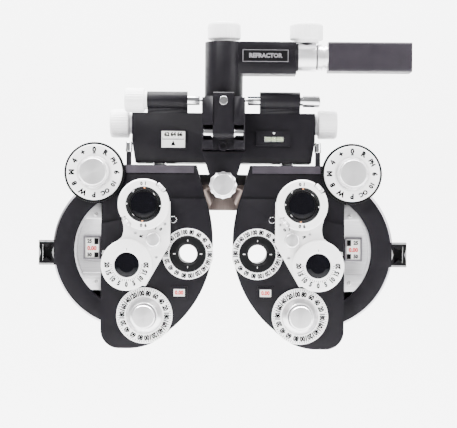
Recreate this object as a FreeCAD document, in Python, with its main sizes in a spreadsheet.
import FreeCAD, Part
import math
import os
from types import SimpleNamespace

import Sketcher

# A manual refractor head (phoropter) that hangs from a stand arm.
# Millimetres. The origin lies midway between the two sight apertures, on the sight line.
# +X is the examiner's right, +Y points at the patient and +Z is up, so the dials face -Y.
# "Depth" is the distance in front of the XZ plane, towards the examiner.
# Every piece of an optical unit is built on the right and mirrored to the left.

CELLS = {
    # optical unit: places in the XZ plane
    "sight_x": 32.1, "disc_x": 84.7, "disc_z": 3.5,
    "pivot_x": 63.3, "pivot_z": 13.2,
    "cross_x": 72.0, "cross_z": 45.2, "prism_x": 87.3, "prism_z": -10.0,
    "aux_x": 118.7, "aux_z": 74.7, "axis_x": 71.6, "axis_z": -56.9,
    "stop_x": 45.3, "stop_z": 31.6, "lever_x": 87.5, "lever_y": -19.6,
    # optical unit: depths of the layers
    "face_depth": 25.0, "upper_depth": 22.0, "crescent_depth": 14.0, "cover_back": 4.0,
    "rim_front": 3.6, "rim_back": -8.0, "drum_front": -8.4, "drum_back": -26.0,
    "plate_depth": 33.5, "plate_thick": 3.2, "loupe_depth": 42.0,
    # front cover outline
    "cover_top": 82.0, "cover_top_x": 24.7, "cover_side": 112.3, "cover_bottom": -87.6,
    "nose_x": 9.3, "nose_z": 11.0, "cover_wall": 3.0, "corner_radius": 17.0,
    "step_high": 50.9, "step_low": 31.4, "step_side": 27.5,
    "side_low": -34.5, "side_high": 46.5, "corneal_x": 157.0, "corneal_half": 11.5,
    # wheels and dials
    "rim_radius": 74.7, "drum_radius": 72.0, "crescent_inner": 54.0, "lens_radius": 9.2,
    "sight_bore": 8.5, "scale_radius": 23.6, "pointer_radius": 14.5,
    "aux_radius": 25.8, "strong_radius": 28.2, "axis_radius": 25.8,
    "cross_radius": 23.4, "cell_radius": 13.2, "prism_radius": 23.5, "prism_lens": 11.4,
    "spindle_radius": 4.0, "run_gap": 0.06, "face_gap": 0.3,
    # head casing
    "case_top": 130.8, "case_bottom": 84.5, "case_half": 85.1, "case_foot": 81.7,
    "case_waist": 105.0, "case_front": 16.0, "case_back": -22.0, "case_wall": 3.0,
    "screw_z": 121.8, "screw_y": 3.0, "screw_radius": 3.0, "pd_knob_radius": 13.6,
    "hang_x": 60.0, "pd_travel": 7.0, "hinge_deep": 5.5,
    "sleeve_in": 33.6, "sleeve_out": 71.0, "sleeve_radius": 8.2, "sleeve_z": 142.6,
    "sleeve_y": -13.5, "rod_radius": 4.35, "level_knob_radius": 11.4,
    "level_z": 99.8, "level_radius": 5.0,
    "brow_z": 63.6, "brow_screw": 3.0,
    # yoke, hanger and stand arm
    "yoke_half": 19.6, "yoke_bottom": 96.0, "yoke_top": 144.0, "yoke_back": 16.5,
    "yoke_front": 33.0, "cheek_front": 46.0, "holder_half": 9.5, "holder_top": 148.0,
    "holder_axis_z": 111.0, "holder_axis_depth": 39.0,
    "column_half": 17.7, "column_y": -15.0, "column_top": 196.1, "stem_radius": 8.0,
    "arm_z": 183.0, "arm_bottom": 166.5, "arm_end": 66.7, "drum_end": 85.4,
    "collar_radius": 13.0, "shaft_radius": 9.0, "shaft_end": 96.4, "bar_end": 173.6,
    "bar_high": 27.2, "bar_deep": 24.0, "socket_radius": 8.0, "socket_length": 30.0,
    "clamp_x": 76.5, "clamp_radius": 15.5, "clamp_top": 214.5,
}


class Size:
    """A length that is a number and also the sheet expression it comes from."""

    def __init__(self, value, text):
        self.value = value
        self.text = text

    def __add__(self, other):
        other = as_size(other)
        return Size(self.value + other.value, f"({self.text} + {other.text})")

    def __sub__(self, other):
        other = as_size(other)
        return Size(self.value - other.value, f"({self.text} - {other.text})")

    def __mul__(self, other):
        other = as_size(other)
        return Size(self.value * other.value, f"({self.text} * {other.text})")

    def __truediv__(self, other):
        other = as_size(other)
        return Size(self.value / other.value, f"({self.text} / {other.text})")

    def __radd__(self, other):
        return as_size(other) + self

    def __rsub__(self, other):
        return as_size(other) - self

    def __rmul__(self, other):
        return as_size(other) * self

    def __neg__(self):
        return Size(-self.value, f"(0 - {self.text})")


def as_size(number):
    return number if isinstance(number, Size) else Size(float(number), f"({float(number)})")


def root(size):
    return Size(math.sqrt(size.value), f"sqrt({size.text})")


doc = FreeCAD.newDocument("phoropter")
sheet = doc.addObject("Spreadsheet::Sheet", "dims")
for row, (alias, number) in enumerate(CELLS.items(), start=1):
    sheet.set(f"A{row}", alias)
    sheet.set(f"B{row}", str(number))
    sheet.setAlias(f"B{row}", alias)
doc.recompute()
s = SimpleNamespace(**{alias: Size(number, f"dims.{alias}") for alias, number in CELLS.items()})

nodes = []
unit_nodes = []


def bind(thing, name, size):
    thing.setExpression(name, as_size(size).text)


def place(thing, at):
    for letter, size in zip("xyz", at):
        bind(thing, f"Placement.Base.{letter}", size)


def new_body(label, at=(0, 0, 0)):
    body = doc.addObject("PartDesign::Body", label)
    body.Label = label
    place(body, at)
    nodes.append(body)
    return body


def new_sketch(body, plane, offset):
    """A sketch on one of the body's origin planes, moved along that plane's normal."""
    sketch = body.newObject("Sketcher::SketchObject", f"{body.Name}_sketch")
    origin_plane = [f for f in body.Origin.OriginFeatures if f.Role == f"{plane}_Plane"][0]
    sketch.AttachmentSupport = (origin_plane, [""])
    sketch.MapMode = "FlatFace"
    bind(sketch, "AttachmentOffset.Base.z", offset)
    return sketch


def fix_point(sketch, geometry, point, across, up):
    """Fixes a point's two distances from the sketch's origin."""
    for kind, size in (("DistanceX", as_size(across)), ("DistanceY", as_size(up))):
        index = sketch.addConstraint(Sketcher.Constraint(kind, geometry, point, size.value))
        bind(sketch, f"Constraints[{index}]", size)


def arc_between(start, end, radius):
    """An arc from start to end: it turns left where the radius is positive."""
    chord = end - start
    side = FreeCAD.Vector(-chord.y, chord.x, 0).normalize() * math.copysign(1, radius)
    rise = math.sqrt(radius ** 2 - (chord.Length / 2) ** 2)
    centre = (start + end) / 2 + side * rise
    first, last = (start, end) if radius > 0 else (end, start)
    angles = [math.atan2(p.y - centre.y, p.x - centre.x) for p in (first, last)]
    circle = Part.Circle(centre, FreeCAD.Vector(0, 0, 1), abs(radius))
    return Part.ArcOfCircle(circle, *angles)


def add_outline(sketch, corners):
    """A closed outline. A corner is (across, up), with a signed radius where an arc follows."""
    points = [FreeCAD.Vector(as_size(c[0]).value, as_size(c[1]).value, 0) for c in corners]
    first = sketch.GeometryCount
    starts = []
    for index, corner in enumerate(corners):
        start = points[index]
        end = points[(index + 1) % len(points)]
        if len(corner) == 2:
            sketch.addGeometry(Part.LineSegment(start, end), False)
            starts.append((1, 2))
            continue
        radius = as_size(corner[2])
        sketch.addGeometry(arc_between(start, end, radius.value), False)
        starts.append((1, 2) if radius.value > 0 else (2, 1))
    for index, corner in enumerate(corners):
        after = (index + 1) % len(corners)
        join = (first + index, starts[index][1], first + after, starts[after][0])
        sketch.addConstraint(Sketcher.Constraint("Coincident", *join))
        fix_point(sketch, first + index, starts[index][0], corner[0], corner[1])
        if len(corner) == 3:
            radius = as_size(corner[2])
            size = radius if radius.value > 0 else -radius
            index = sketch.addConstraint(Sketcher.Constraint("Radius", first + index, size.value))
            bind(sketch, f"Constraints[{index}]", size)


def add_circle(sketch, across, up, radius):
    centre = FreeCAD.Vector(as_size(across).value, as_size(up).value, 0)
    radius = as_size(radius)
    circle = Part.Circle(centre, FreeCAD.Vector(0, 0, 1), radius.value)
    geometry = sketch.addGeometry(circle, False)
    fix_point(sketch, geometry, 3, across, up)
    index = sketch.addConstraint(Sketcher.Constraint("Radius", geometry, radius.value))
    bind(sketch, f"Constraints[{index}]", radius)


def rectangle(left, low, right, high):
    return [(left, low), (right, low), (right, high), (left, high)]


def rounded(left, low, right, high, radius):
    """A rectangle with round corners, drawn leftward-turning."""
    return [
        (left + radius, low), (right - radius, low, radius),
        (right, low + radius), (right, high - radius, radius),
        (right - radius, high), (left + radius, high, radius),
        (left, high - radius), (left, low + radius, radius),
    ]


def pad(body, plane, start, end, outlines=(), circles=()):
    """Adds a prism between two distances along the plane's normal."""
    sketch = new_sketch(body, plane, start)
    for corners in outlines:
        add_outline(sketch, corners)
    for circle in circles:
        add_circle(sketch, *circle)
    feature = body.newObject("PartDesign::Pad", f"{body.Name}_pad")
    feature.Profile = sketch
    bind(feature, "Length", as_size(end) - as_size(start))
    return feature


def pocket(body, plane, start, end, outlines=(), circles=()):
    """Cuts a prism from the far distance back to the near one."""
    sketch = new_sketch(body, plane, end)
    for corners in outlines:
        add_outline(sketch, corners)
    for circle in circles:
        add_circle(sketch, *circle)
    feature = body.newObject("PartDesign::Pocket", f"{body.Name}_pocket")
    feature.Profile = sketch
    bind(feature, "Length", as_size(end) - as_size(start))
    return feature


def turn(body, plane, axis, corners, kind="Revolution"):
    """Revolves an outline about the sketch's own H_Axis or V_Axis."""
    sketch = new_sketch(body, plane, 0)
    add_outline(sketch, corners)
    feature = body.newObject(f"PartDesign::{kind}", f"{body.Name}_turn")
    feature.Profile = sketch
    feature.ReferenceAxis = (sketch, [axis])
    feature.Angle = 360
    return feature


def turned_front(label, x, z, rows, in_unit=True):
    """A piece turned about an axis along Y: rows are (radius, depth) corners."""
    body = new_body(label, (x, 0, z))
    turn(body, "XY", "V_Axis", [(radius, -as_size(depth)) for radius, depth in rows])
    if in_unit:
        unit_nodes.append(body)
    return body


def unit_body(label):
    body = new_body(label)
    unit_nodes.append(body)
    return body


# ---------------------------------------------------------------- stand and hanger

def build_stand_arm():
    body = new_body("stand_arm", (0, s.column_y, s.arm_z))
    half_high = s.bar_high / 2
    half_deep = s.bar_deep / 2
    section = rounded(-half_deep, -half_high, half_deep, half_high, 2.5)
    pad(body, "YZ", s.shaft_end, s.bar_end, [section])
    socket = [(0, 0, s.socket_radius)]
    pocket(body, "YZ", s.bar_end - s.socket_length, s.bar_end, circles=socket)


def build_joint_shaft():
    body = new_body("joint_shaft", (0, s.column_y, s.arm_z))
    shoulder = s.drum_end + s.face_gap
    tip = s.arm_end - 12
    neck = s.collar_radius - 0.7
    turn(body, "XY", "H_Axis", [
        (tip, 0), (s.shaft_end, 0), (s.shaft_end, neck), (s.shaft_end - 3, neck),
        (s.shaft_end - 3, neck - 1.2), (s.shaft_end - 5, neck - 1.2), (s.shaft_end - 5, neck),
        (shoulder + 1.2, neck), (shoulder, neck - 1.2), (shoulder, s.shaft_radius),
        (tip, s.shaft_radius),
    ])


def build_hanger_arm():
    body = new_body("hanger_arm")
    bottom = s.yoke_top + s.face_gap
    back = s.column_y + 16
    chamfer = 5.5
    half = s.column_half
    column = [
        (half - chamfer, back), (chamfer - half, back), (-half, back - chamfer),
        (-half, s.column_y, half), (0, s.column_y - half, half), (half, s.column_y),
        (half, back - chamfer),
    ]
    pad(body, "XY", bottom, s.column_top, [column])
    arm = rectangle(10, s.arm_bottom, s.arm_end, s.column_top)
    near = -s.column_y - s.bar_deep / 2
    pad(body, "XZ", near, near + s.bar_deep, [arm])
    drum = (s.column_y, s.arm_z, s.collar_radius)
    pad(body, "YZ", s.arm_end - 1, s.drum_end, circles=[drum])
    pad(body, "XY", s.arm_z + 9.5, s.column_top - 0.4, circles=[(s.clamp_x, s.column_y, 7)])
    bore = (s.column_y, s.arm_z, s.shaft_radius + s.run_gap)
    pocket(body, "YZ", s.arm_end - 12.4, s.drum_end, circles=[bore])
    stem = (0, s.column_y, s.stem_radius + s.run_gap)
    pocket(body, "XY", bottom, s.column_top - 20, circles=[stem])
    screws = [(0, s.column_y, 3 + s.run_gap), (s.clamp_x, s.column_y, 3 + s.run_gap)]
    pocket(body, "XY", s.arm_z + s.shaft_radius - 1, s.column_top, circles=screws)


def build_clamp_knob(label, x):
    body = new_body(label, (x, s.column_y, 0))
    seat = s.column_top + s.face_gap
    turn(body, "XZ", "V_Axis", [
        (0, s.arm_z + s.shaft_radius + 0.4), (3, s.arm_z + s.shaft_radius + 0.4), (3, seat),
        (s.clamp_radius - 4, seat), (s.clamp_radius - 2, seat + 3), (s.clamp_radius, seat + 4),
        (s.clamp_radius, s.clamp_top - 1), (s.clamp_radius - 1, s.clamp_top), (0, s.clamp_top),
    ])


def build_yoke():
    body = new_body("yoke")
    inner = s.holder_half + s.face_gap
    block = rectangle(-s.yoke_half, s.yoke_bottom, s.yoke_half, s.yoke_top)
    pad(body, "XZ", s.yoke_back, s.yoke_front, [block])
    bevel = 3
    right = [
        (inner, s.yoke_bottom), (s.yoke_half, s.yoke_bottom), (s.yoke_half, s.yoke_top - bevel),
        (s.yoke_half - bevel, s.yoke_top), (inner, s.yoke_top),
    ]
    left = [(-across, up) for across, up in reversed(right)]
    pad(body, "XZ", s.yoke_front - 1, s.cheek_front, [right, left])
    flange = rectangle(-s.yoke_half, -s.yoke_front, s.yoke_half, s.column_y + 13)
    pad(body, "XY", s.yoke_top - 7.5, s.yoke_top, [flange])
    stem = (0, s.column_y, s.stem_radius)
    pad(body, "XY", s.yoke_top - 1, s.column_top - 20.2, circles=[stem])
    bore = (0, s.level_z, s.level_radius + s.run_gap)
    pocket(body, "XZ", s.yoke_back, s.yoke_front, circles=[bore])
    wall = 1.2
    window_low = s.holder_axis_z - 7
    window_high = s.holder_axis_z + 7
    recess = rectangle(inner - 1, window_low, s.yoke_half - wall, window_high)
    other = rectangle(wall - s.yoke_half, window_low, 1 - inner, window_high)
    pocket(body, "XZ", s.yoke_front, s.cheek_front, [recess, other])
    ear = (-s.holder_axis_depth, s.holder_axis_z, 5.02)
    pocket(body, "YZ", -s.yoke_half, s.yoke_half, circles=[ear])


def build_rod_holder():
    shaft = new_body("rod_holder_shaft", (0, -s.holder_axis_depth, s.holder_axis_z))
    shoulder = s.holder_half + s.face_gap
    turn(shaft, "XY", "H_Axis", [
        (-s.yoke_half, 0), (s.yoke_half, 0), (s.yoke_half, 5), (shoulder, 5), (shoulder, 3),
        (-shoulder, 3), (-shoulder, 5), (-s.yoke_half, 5),
    ])
    body = new_body("rod_holder", (0, -s.holder_axis_depth, s.holder_axis_z))
    half = 5.5
    high = s.holder_top - s.holder_axis_z
    side = [
        (-half, 0, half), (0, -half, half), (half, 0), (half, high), (1 - half, high),
        (-half, high - 1),
    ]
    pad(body, "YZ", -s.holder_half, s.holder_half, [side])
    pad(body, "XZ", half - 0.5, half + 2.5, circles=[(0, high - 8, 3.7)])
    pocket(body, "YZ", -s.holder_half, s.holder_half, circles=[(0, 0, 3 + s.run_gap)])
    pocket(body, "XY", high - 28, high, circles=[(0, 0, 4)])


# ---------------------------------------------------------------- head casing

def build_main_body():
    body = new_body("main_body")
    case = [
        (-s.case_foot, s.case_bottom), (s.case_foot, s.case_bottom), (s.case_half, s.case_waist),
        (s.case_half, s.case_top), (-s.case_half, s.case_top), (-s.case_half, s.case_waist),
    ]
    pad(body, "XZ", s.case_back, s.case_front, [case])
    wall = s.case_wall
    foot = s.case_foot - wall
    half = s.case_half - wall
    hollow = [
        (-foot, s.case_bottom + wall), (foot, s.case_bottom + wall), (half, s.case_waist),
        (half, s.case_top - wall), (-half, s.case_top - wall), (-half, s.case_waist),
    ]
    pocket(body, "XZ", s.case_back, s.case_front - wall, [hollow])
    for side in (1, -1):
        reach = s.pd_travel + 7
        low = side * s.hang_x - reach
        slot = rectangle(low, s.screw_y - 7.5, low + 2 * reach, s.screw_y + 7.5)
        pocket(body, "XY", s.case_bottom - 1, s.case_bottom + wall + 1, [slot])
        near, far = sorted((side * s.sleeve_in, side * s.sleeve_out), key=lambda size: size.value)
        saddle = rectangle(near, 0.1 - s.case_front, far, s.sleeve_y + 6)
        pad(body, "XY", s.case_top - 1, s.sleeve_z - 6, [saddle])
        sleeve = (s.sleeve_y, s.sleeve_z, s.sleeve_radius)
        pad(body, "YZ", near, far, circles=[sleeve])
        bore = (s.sleeve_y, s.sleeve_z, s.rod_radius + s.run_gap)
        pocket(body, "YZ", near, far, circles=[bore])
    journal = (s.screw_y, s.screw_z, 5 + s.run_gap)
    pocket(body, "YZ", -s.case_half - 1, s.case_half + 1, circles=[journal])
    seam = s.yoke_bottom - 1.4
    bracket = [
        (-s.yoke_half, seam), (-12.4, 71), (-8.5, 66), (-8.5, 54), (8.5, 54), (8.5, 66),
        (12.4, 71), (s.yoke_half, seam),
    ]
    pad(body, "XZ", s.case_front - wall, s.case_front + 8, [bracket])
    pin = (0, s.level_z, s.level_radius)
    pad(body, "XZ", s.case_front - wall, s.yoke_front + 0.5, circles=[pin])
    brow = (0, s.brow_z, s.brow_screw + s.run_gap)
    pocket(body, "XZ", s.case_front - wall - 1, s.case_front + 9, circles=[brow])
    key = (0, s.level_z, 2.6)
    pocket(body, "XZ", s.yoke_front - 2, s.yoke_front + 1, circles=[key])


def build_back_cover():
    body = new_body("body_back_cover")
    inset = 1.0
    plate = [
        (inset - s.case_foot, s.case_bottom + inset), (s.case_foot - inset, s.case_bottom + inset),
        (s.case_half - inset, s.case_waist), (s.case_half - inset, s.case_top - inset),
        (inset - s.case_half, s.case_top - inset), (inset - s.case_half, s.case_waist),
    ]
    pad(body, "XZ", s.case_back - 2, s.case_back, [plate])


def build_framed_window(label, frame, hole, depth, raised, in_unit=False):
    """A raised frame with a shallow recess for its card or vial."""
    body = unit_body(label) if in_unit else new_body(label)
    pad(body, "XZ", depth, depth + raised, [rounded(*frame, 1.0)])
    pocket(body, "XZ", depth + raised * 0.4, depth + raised, [rectangle(*hole)])


def build_head_windows():
    build_framed_window("pd_window", (-59.0, 96.9, -34.3, 115.1), (-57.8, 98.1, -35.5, 113.9),
                        s.case_front, 1.4)
    build_framed_window("level_vial", (30.5, 100.4, 62.1, 114.3), (37.9, 104.1, 55.9, 109.0),
                        s.case_front, 2.6)


def build_pd_drive():
    screw = new_body("pd_screw", (0, s.screw_y, s.screw_z))
    journal = s.case_half - 4
    end = s.case_half + 1
    turn(screw, "XY", "H_Axis", [
        (-end, 0), (end, 0), (end, 5), (journal, 5), (journal, s.screw_radius),
        (-journal, s.screw_radius), (-journal, 5), (-end, 5),
    ])
    knobs = new_body("pd_knobs", (0, s.screw_y, s.screw_z))
    tip = s.case_half + 21.6
    grip = s.pd_knob_radius
    neck = 9
    turn(knobs, "XY", "H_Axis", [
        (end, 0), (tip, 0), (tip, grip - 1.6), (tip - 1.4, grip), (end + 3, grip),
        (end + 2, neck), (end, neck),
    ])
    turn(knobs, "XY", "H_Axis", [
        (-end, 0), (-end, neck), (-end - 2, neck), (-end - 3, grip), (1.4 - tip, grip),
        (-tip, grip - 1.6), (-tip, 0),
    ])


def build_level_parts():
    at = (0, s.sleeve_y, s.sleeve_z)
    tip = s.yoke_half + s.face_gap
    knob = new_body("level_knob", at)
    near = s.sleeve_out + s.face_gap
    far = near + 20.7
    grip = s.level_knob_radius
    neck = 7
    turn(knob, "XY", "H_Axis", [
        (5 - near, 0), (5 - near, s.rod_radius), (-near, s.rod_radius), (-near, neck),
        (-near - 1.5, neck), (-near - 2.5, grip), (1.2 - far, grip), (-far, grip - 1.2),
        (-far, 0),
    ])
    screw = new_body("level_screw", at)
    turn(screw, "XY", "H_Axis", [
        (-tip, 0), (-tip, 1), (-tip - 2.4, 1), (-tip - 2.4, s.rod_radius),
        (12 - near, s.rod_radius), (12 - near, 0),
    ])
    plunger = new_body("level_plunger", at)
    cap = s.sleeve_out + 2.6
    turn(plunger, "XY", "H_Axis", [
        (tip, 0), (cap + 16, 0), (cap + 16, 4.7), (cap + 15, 5.7), (cap, 5.7),
        (cap, s.rod_radius), (tip + 2.4, s.rod_radius), (tip + 2.4, 1), (tip, 1),
    ])


def build_brow_rest():
    knob_seat = s.case_front + 8 + s.face_gap
    turned_front("forehead_knob", 0, s.brow_z, [
        (0, -24), (s.brow_screw, -24), (s.brow_screw, knob_seat), (12, knob_seat),
        (12.9, knob_seat + 1), (12.9, knob_seat + 4), (10.8, knob_seat + 5),
        (10.8, knob_seat + 14), (9.8, knob_seat + 15), (0, knob_seat + 15),
    ], in_unit=False)
    plate = new_body("v_plate")
    tab = 9
    foot = 14.3
    wing = 25
    shape = [
        (tab, s.case_bottom - 0.1), (-tab, s.case_bottom - 0.1), (-tab, 64.5), (-wing, 64.5),
        (-wing, 59), (-foot, 40.4), (foot, 40.4), (wing, 59), (wing, 64.5), (tab, 64.5),
    ]
    pad(plate, "XZ", -14.5, -11.5, [shape])
    pocket(plate, "XZ", -14.5, -11.5, circles=[(0, s.brow_z, 5 + s.run_gap)])
    rest = new_body("forehead_rest")
    pad(rest, "XZ", -36, -28, [rounded(-35, s.brow_z - 12, 35, s.brow_z + 12, 8)])
    pad(rest, "XZ", -29, -0.5, circles=[(0, s.brow_z, 5)])
    pocket(rest, "XZ", -26, 0, circles=[(0, s.brow_z, s.brow_screw + s.run_gap)])


# ---------------------------------------------------------------- optical unit

def cover_outline(inset=0):
    """The front cover's outline, or one inside it."""
    return [
        (s.cover_top_x + inset, s.cover_top - inset), (17 + inset, 54, 123.9),
        (s.nose_x + inset, s.nose_z, 102.7), (48 + inset, -70 + inset, 52.2),
        (s.disc_x, s.cover_bottom + inset),
        (s.cover_side - s.corner_radius, s.cover_bottom + inset, s.corner_radius - inset),
        (s.cover_side - inset, s.cover_bottom + s.corner_radius),
        (s.cover_side - inset, s.cover_top - inset),
    ]


def lower_outline():
    """The raised lower part of the cover, with its stepped upper edge."""
    return [
        (16, s.step_high), (s.nose_x, s.nose_z, 102.7), (48, -70, 52.2),
        (s.disc_x, s.cover_bottom),
        (s.cover_side - s.corner_radius, s.cover_bottom, s.corner_radius),
        (s.cover_side, s.cover_bottom + s.corner_radius), (s.cover_side, s.step_side),
        (91.4, s.step_low), (66.5, s.step_high),
    ]


def crescent(outer, inner, left):
    """The outer part of a ring about the disc centre, right of a vertical chord."""
    across = left - s.disc_x
    high = root(outer * outer - across * across)
    low = root(inner * inner - across * across)
    far = s.disc_x + outer
    near = s.disc_x + inner
    return [
        (left, s.disc_z - high, outer), (far, s.disc_z, outer), (left, s.disc_z + high),
        (left, s.disc_z + low, -inner), (near, s.disc_z, -inner), (left, s.disc_z - low),
    ]


def build_front_cover():
    body = unit_body("front_cover")
    pad(body, "XZ", s.cover_back, s.upper_depth, [cover_outline()])
    pad(body, "XZ", s.upper_depth - 1, s.face_depth, [lower_outline()])
    pocket(body, "XZ", s.cover_back, s.upper_depth - s.cover_wall, [cover_outline(3)])
    ring = crescent(s.drum_radius, s.crescent_inner, s.cover_side - 3)
    pad(body, "XZ", s.cover_back, s.crescent_depth, [ring])
    lug = rectangle(s.corneal_x - 5, -s.corneal_half, s.corneal_x, s.corneal_half)
    pad(body, "XZ", s.cover_back, s.crescent_depth, [lug])
    pad(body, "XZ", 10, s.upper_depth, circles=[(s.aux_x, s.aux_z, 26)])
    spindle = s.spindle_radius
    pad(body, "XZ", s.upper_depth - 1, 30.5, circles=[(s.aux_x, s.aux_z, spindle)])
    pedestal = (s.pivot_x, s.pivot_z, 9)
    pad(body, "XZ", s.face_depth - 6, s.plate_depth - s.face_gap, circles=[pedestal])
    pivot = (s.pivot_x, s.pivot_z, spindle)
    pad(body, "XZ", s.face_depth, s.plate_depth + 6, circles=[pivot])
    pad(body, "XZ", s.face_depth - 1, s.face_depth + 7, circles=[(s.stop_x, s.stop_z, 2.8)])
    pad(body, "XY", s.cover_top - 2, 103.4, circles=[(s.lever_x, s.lever_y, 2.4)])
    tube = (s.sight_x, 0, s.sight_bore + 0.8 + s.run_gap)
    pocket(body, "XZ", s.cover_back, s.face_depth, circles=[tube])
    shaft = (s.axis_x, s.axis_z, spindle + s.run_gap)
    pocket(body, "XZ", s.cover_back, s.face_depth, circles=[shaft])


def build_rear_housing():
    body = unit_body("rear_housing")
    centre = (s.disc_x, s.disc_z, s.drum_radius)
    pad(body, "XZ", s.drum_back, s.drum_front, circles=[centre])
    pad(body, "XZ", s.drum_back + 2, s.drum_front, [rectangle(45, 55, 100, s.cover_top)])
    bridge = rectangle(45, s.disc_z + s.rim_radius + 0.8, 100, s.cover_top)
    pad(body, "XZ", s.drum_front - 1, s.cover_back, [bridge])
    cavity = (s.disc_x, s.disc_z, s.drum_radius - 3.5)
    pocket(body, "XZ", s.drum_back + 2.5, s.drum_front, circles=[cavity])
    hub = (s.disc_x, s.disc_z, 8)
    pad(body, "XZ", s.drum_back + 1, s.cover_back, circles=[hub])
    pocket(body, "XZ", s.drum_back, s.drum_front, circles=[(s.sight_x, 0, s.sight_bore + 1)])
    hinge = (s.hang_x, s.screw_y, s.spindle_radius + s.run_gap)
    pocket(body, "XY", s.cover_top - s.hinge_deep - 0.5, s.cover_top, circles=[hinge])


def build_sphere_wheel():
    body = unit_body("sphere_wheel")
    place(body, (s.disc_x, 0, s.disc_z))
    rim = [(0, 0, s.rim_radius), (0, 0, s.rim_radius - 6)]
    pad(body, "XZ", s.rim_back, s.rim_front, circles=rim)
    web = [(0, 0, s.rim_radius - 5), (0, 0, 8 + s.run_gap)]
    pad(body, "XZ", -2.5, 0, circles=web)
    hole = (s.sight_x - s.disc_x, -s.disc_z, s.lens_radius)
    first = pocket(body, "XZ", -2.5, 0, circles=[hole])
    pattern = body.newObject("PartDesign::PolarPattern", "lens_pattern")
    pattern.Originals = [first]
    pattern.Axis = (first.Profile[0], ["N_Axis"])
    pattern.Angle = 360
    pattern.Occurrences = 12
    body.Tip = pattern


def round_sided(left, low, high, radius):
    """A straight-sided shape whose right side is an arc about the disc centre."""
    below = s.disc_z - low
    above = high - s.disc_z
    return [
        (left, low), (s.disc_x + root(radius * radius - below * below), low, radius),
        (s.disc_x + radius, s.disc_z, radius),
        (s.disc_x + root(radius * radius - above * above), high), (left, high),
    ]


def build_side_plate():
    body = unit_body("crescent_plate")
    left = s.cover_side + s.face_gap
    radius = s.crescent_inner - s.face_gap
    plate = round_sided(left, s.side_low, s.side_high, radius)
    pad(body, "XZ", s.crescent_depth - 4, s.crescent_depth - 1, [plate])
    recess = round_sided(left + 1, s.side_low + 16, s.side_high - 14.5, radius - 3)
    pocket(body, "XZ", s.crescent_depth - 2, s.crescent_depth - 1, [recess])
    build_framed_window("scale_window", (113.9, -6.4, 129.8, 15.8), (115.4, -4.8, 128.3, 14.2),
                        s.crescent_depth - 2, 3.0, in_unit=True)
    sight = unit_body("corneal_sight")
    half = s.corneal_half
    frame = rectangle(s.corneal_x, -half, s.corneal_x + 14.2, half)
    near = s.corneal_x + 2.4
    middle = s.corneal_x + 7.1
    far = s.corneal_x + 11.8
    opening = [
        (near, 3 - half), (middle, 7 - half), (far, 3 - half), (far, half - 3),
        (middle, half - 7), (near, half - 3),
    ]
    pad(sight, "XZ", s.cover_back + 0.4, s.crescent_depth, [frame])
    pocket(sight, "XZ", s.cover_back + 0.4, s.crescent_depth, [opening])


def build_aux_controls():
    bore = s.spindle_radius + s.run_gap
    base = s.upper_depth + s.face_gap
    turned_front("strong_sphere_ring", s.aux_x, s.aux_z, [
        (bore, base), (s.strong_radius, base), (s.strong_radius, base + 4.2), (bore, base + 4.2),
    ])
    seat = base + 4.5
    turned_front("aux_dial", s.aux_x, s.aux_z, [
        (bore, seat), (s.aux_radius, seat), (s.aux_radius, seat + 2.6), (16, seat + 2.6),
        (16, seat + 1.6), (bore, seat + 1.6),
    ])
    low = seat + 1.6
    turned_front("aux_knob", s.aux_x, s.aux_z, [
        (bore, low), (15.3, low), (15.3, low + 2.5), (13.2, low + 4), (12.8, low + 14),
        (12.0, low + 15), (0, low + 15), (0, low + 6), (bore, low + 6),
    ])


def build_sight_dials():
    turned_front("aperture_dial", s.sight_x, 0, [
        (s.pointer_radius + 0.4, s.face_depth), (s.scale_radius, s.face_depth),
        (s.scale_radius, s.face_depth + 1.8), (s.scale_radius - 0.6, s.face_depth + 2.2),
        (s.pointer_radius + 0.4, s.face_depth + 2.2),
    ])
    tube = s.sight_bore + 0.8
    ring = s.face_depth + s.face_gap
    gear = 17
    gear_back = s.cover_back + 7
    turned_front("axis_pointer", s.sight_x, 0, [
        (s.sight_bore, gear_back), (gear, gear_back), (gear, gear_back + 5),
        (tube, gear_back + 5), (tube, ring),
        (s.pointer_radius, ring), (s.pointer_radius, ring + 2), (s.pointer_radius - 1, ring + 3),
        (s.sight_bore + 2, ring + 3), (s.sight_bore, ring + 1.2),
    ])
    base = s.face_depth + s.face_gap
    turned_front("axis_dial", s.axis_x, s.axis_z, [
        (4.5, base), (s.axis_radius, base), (s.axis_radius, base + 3.6),
        (s.axis_radius - 0.6, base + 4.2), (16.8, base + 4.2), (16.8, base + 6),
        (12.6, base + 11.5), (11.8, base + 12.2), (11.1, base + 12.2), (11.1, base + 3),
        (4.5, base + 3),
    ])
    head = base + 3.3
    turned_front("power_knob", s.axis_x, s.axis_z, [
        (0, s.cover_back + 12), (s.spindle_radius, s.cover_back + 12), (s.spindle_radius, head),
        (10.8, head), (10.8, head + 17.5), (10.0, head + 18.5), (0, head + 18.5),
    ])
    build_framed_window("cylinder_window", (32.0, -42.4, 47.4, -29.9), (34.4, -39.6, 45.2, -32.4),
                        s.face_depth, 1.4, in_unit=True)


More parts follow.
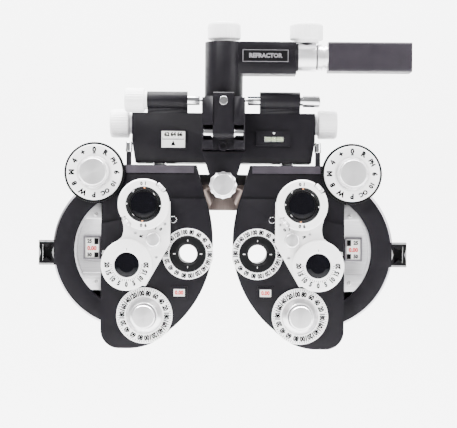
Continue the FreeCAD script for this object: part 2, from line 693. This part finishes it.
def build_turret():
    body = unit_body("turret_plate")
    back = s.plate_depth
    front = s.plate_depth + s.plate_thick
    plate = [
        (48.1, 47.8), (48.1, 9.2), (70.2, -29.4), (96, -26), (108, -4), (96, 12),
        (92.3, 15, -20), (92.3, 31), (90, 52), (72, 62),
    ]
    pad(body, "XZ", back, front, [plate])
    pad(body, "XZ", back, front, circles=[(s.cross_x, s.cross_z, 20.5)])
    pad(body, "XZ", back, front, circles=[(s.prism_x, s.prism_z, 21)])
    pad(body, "XZ", front - 1, front + 1.4, circles=[(s.pivot_x, s.pivot_z, 7)])
    pad(body, "XZ", front + 0.4, front + 7.5, circles=[(s.pivot_x, s.pivot_z, 6.1)])
    windows = [(s.cross_x, s.cross_z, 16.4), (s.prism_x, s.prism_z, 13)]
    pocket(body, "XZ", back - 1, front + 1, circles=windows)
    pin = (s.pivot_x, s.pivot_z, s.spindle_radius + s.run_gap)
    pocket(body, "XZ", back, back + 6.4, circles=[pin])


def slanted_rod(name, centre_x, radius, start, end):
    """A round rod on a cross cylinder's diagonal flip axis, between two places on it."""
    slant = math.sqrt(0.5)
    rod = doc.addObject("Part::Cylinder", name)
    along = FreeCAD.Rotation(FreeCAD.Vector(0, 0, 1), FreeCAD.Vector(slant, 0, slant))
    rod.Placement = FreeCAD.Placement(FreeCAD.Vector(), along)
    place(rod, (centre_x + slant * start, -s.loupe_depth, s.cross_z + slant * start))
    bind(rod, "Radius", radius)
    bind(rod, "Height", end - start)
    return rod


def build_cross_cylinder(side, centre_x):
    """The ring turns on the turret and the lens cell flips in it, on the same diagonal each side."""
    mid = -s.loupe_depth
    blank = doc.addObject("PartDesign::Body", f"jcc_blank_{side}")
    place(blank, (centre_x, 0, s.cross_z))
    turn(blank, "XY", "V_Axis", [
        (13.6, mid + 3), (16.3, mid + 4.8), (s.cross_radius, mid + 4.8),
        (s.cross_radius, mid - 3.6), (s.cross_radius - 0.8, mid - 4.2), (16.3, mid - 4.2),
        (13.6, mid - 3),
    ])
    reach = s.cross_radius + 2
    notch = s.cross_radius - 3.4
    grip_near = notch + s.face_gap
    grip_far = s.cross_radius + 0.6
    cuts = doc.addObject("Part::MultiFuse", f"jcc_cuts_{side}")
    cuts.Shapes = [
        slanted_rod(f"flip_bore_{side}", centre_x, 1.4 + s.run_gap, -reach, reach),
        slanted_rod(f"notch_high_{side}", centre_x, 5.2, notch, reach),
        slanted_rod(f"notch_low_{side}", centre_x, 5.2, -reach, -notch),
    ]
    ring = doc.addObject("Part::Cut", f"jcc_ring_{side}")
    ring.Base = blank
    ring.Tool = cuts
    lens = doc.addObject("Part::Cylinder", f"cross_lens_{side}")
    lens.Placement = FreeCAD.Placement(
        FreeCAD.Vector(), FreeCAD.Rotation(FreeCAD.Vector(1, 0, 0), 90))
    place(lens, (centre_x, mid + 1.5, s.cross_z))
    bind(lens, "Radius", s.cell_radius)
    bind(lens, "Height", 3)
    cell = doc.addObject("Part::MultiFuse", f"jcc_cell_{side}")
    cell.Shapes = [
        lens, slanted_rod(f"flip_axle_{side}", centre_x, 1.4, -grip_far, grip_far),
        slanted_rod(f"grip_high_{side}", centre_x, 4.6, grip_near, grip_far),
        slanted_rod(f"grip_low_{side}", centre_x, 4.6, -grip_far, -grip_near),
    ]
    nodes.extend([ring, cell])


def build_prism():
    base = s.plate_depth + s.plate_thick + s.face_gap
    body = turned_front("prism_dial", s.prism_x, s.prism_z, [
        (0, base + 1), (s.prism_lens, base + 1), (s.prism_lens, base), (s.prism_radius, base),
        (s.prism_radius, base + 4.6), (s.prism_radius - 0.8, base + 5.2),
        (s.prism_lens + 2, base + 5.2), (s.prism_lens, base + 4), (0, base + 4),
    ])
    tab = [(19.2, 13.2), (22.1, 12.9), (22.6, 9.6), (20.2, 9.2)]
    pad(body, "XZ", base + 0.4, base + 4.2, [tab])


def build_face_shield():
    back = s.drum_back
    turned_front("face_shield", s.sight_x, 0, [
        (s.sight_bore + 1, back), (s.sight_bore + 1, back - 2), (18, back - 3.5),
        (20, back - 7), (21.2, back - 7), (20.5, back - 2), (19, back),
    ])


def build_carriage():
    body = unit_body("carriage")
    half = 11
    block = rectangle(s.hang_x - half, s.screw_y - 6, s.hang_x + half, s.screw_y + 6)
    pad(body, "XY", s.case_bottom + s.case_wall + 0.5, s.case_top - s.case_wall - 1, [block])
    stem = (s.hang_x, s.screw_y, 6)
    pad(body, "XY", s.cover_top + s.face_gap, s.case_bottom + s.case_wall + 1, circles=[stem])
    pin = (s.hang_x, s.screw_y, s.spindle_radius)
    pad(body, "XY", s.cover_top - s.hinge_deep, s.cover_top + 1, circles=[pin])
    nut = (s.screw_y, s.screw_z, s.screw_radius + s.run_gap)
    pocket(body, "YZ", s.hang_x - half, s.hang_x + half, circles=[nut])


def mirror_units():
    """Each piece of the right unit gets its mirror image on the left."""
    for right in unit_nodes:
        left = doc.addObject("Part::Mirroring", f"{right.Name}_left")
        left.Source = right
        left.Normal = FreeCAD.Vector(1, 0, 0)
        left.Label = f"{right.Name}_left"
        right.Label = f"{right.Name}_right"
        nodes.append(left)


def write_parts():
    doc.recompute()
    for thing in doc.Objects:
        if "Invalid" in thing.State or "Error" in thing.State:
            raise RuntimeError(f"{thing.Label} failed: {thing.State}")
    os.makedirs("parts", exist_ok=True)
    for node in nodes:
        if node.Shape.isNull() or not node.Shape.isValid():
            raise RuntimeError(f"{node.Label} has no valid shape")
        node.Shape.exportStep(f"parts/{node.Label}.step")


build_stand_arm()
build_joint_shaft()
build_hanger_arm()
build_clamp_knob("swivel_knob", 0)
build_clamp_knob("arm_clamp_knob", s.clamp_x)
build_yoke()
build_rod_holder()
build_main_body()
build_back_cover()
build_head_windows()
build_pd_drive()
build_level_parts()
build_brow_rest()
build_front_cover()
build_rear_housing()
build_sphere_wheel()
build_side_plate()
build_aux_controls()
build_sight_dials()
build_turret()
build_cross_cylinder("right", s.cross_x)
build_cross_cylinder("left", -s.cross_x)
build_prism()
build_face_shield()
build_carriage()
mirror_units()
write_parts()
